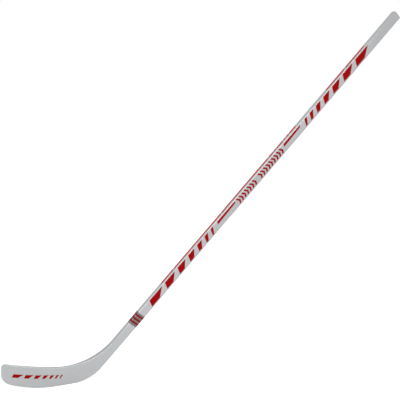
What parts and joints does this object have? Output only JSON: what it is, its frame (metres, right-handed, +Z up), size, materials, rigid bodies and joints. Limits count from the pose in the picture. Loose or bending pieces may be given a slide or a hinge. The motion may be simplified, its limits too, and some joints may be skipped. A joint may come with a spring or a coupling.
{
  "type": "ice hockey stick",
  "caption": "Left-handed wooden ice hockey stick: laminated shaft and curved blade under a painted glass-cloth cover, with a striped band at the joint and plain printed bars.",
  "frame": {"origin": "middle of the flat spot of the blade's sole, on the ice", "axes": "+Z up from the ice with the stick at its playing lie, +X from the toe to the heel and up the shaft, Y through the thickness with the curved blade's hollow forehand face towards +Y"},
  "size_m": [1.2783, 0.0459, 1.1117],
  "materials": {
    "silver_paint": "satin silver-grey paint over glass cloth and resin",
    "red_print": "satin red printed film",
    "dark_film": "satin dark grey film with red stripes",
    "glass_strip": "flat glass-fibre and resin lamination",
    "hard_wood": "sanded ash, grain along the stick",
    "pale_wood": "sanded aspen, grain along the stick"
  },
  "bodies": {
    "root": {"shaft_wrap": "silver_paint", "blade_sleeve": "silver_paint", "joint_band": "dark_film", "backhand_shaft_print": "red_print", "forehand_shaft_print": "red_print", "upper_shaft_print": "red_print", "lower_shaft_print": "red_print", "backhand_blade_print": "red_print", "forehand_blade_print": "red_print", "backhand_glass_strip": "glass_strip", "forehand_glass_strip": "glass_strip", "backhand_veneer": "hard_wood", "forehand_veneer": "hard_wood", "core_strip_1": "pale_wood", "core_strip_2": "pale_wood", "core_strip_3": "pale_wood", "core_strip_4": "pale_wood", "blade_centre_ply": "hard_wood", "backhand_blade_ply": "pale_wood", "forehand_blade_ply": "pale_wood", "backhand_cheek": "hard_wood", "forehand_cheek": "hard_wood"}
  },
  "joints": []
}
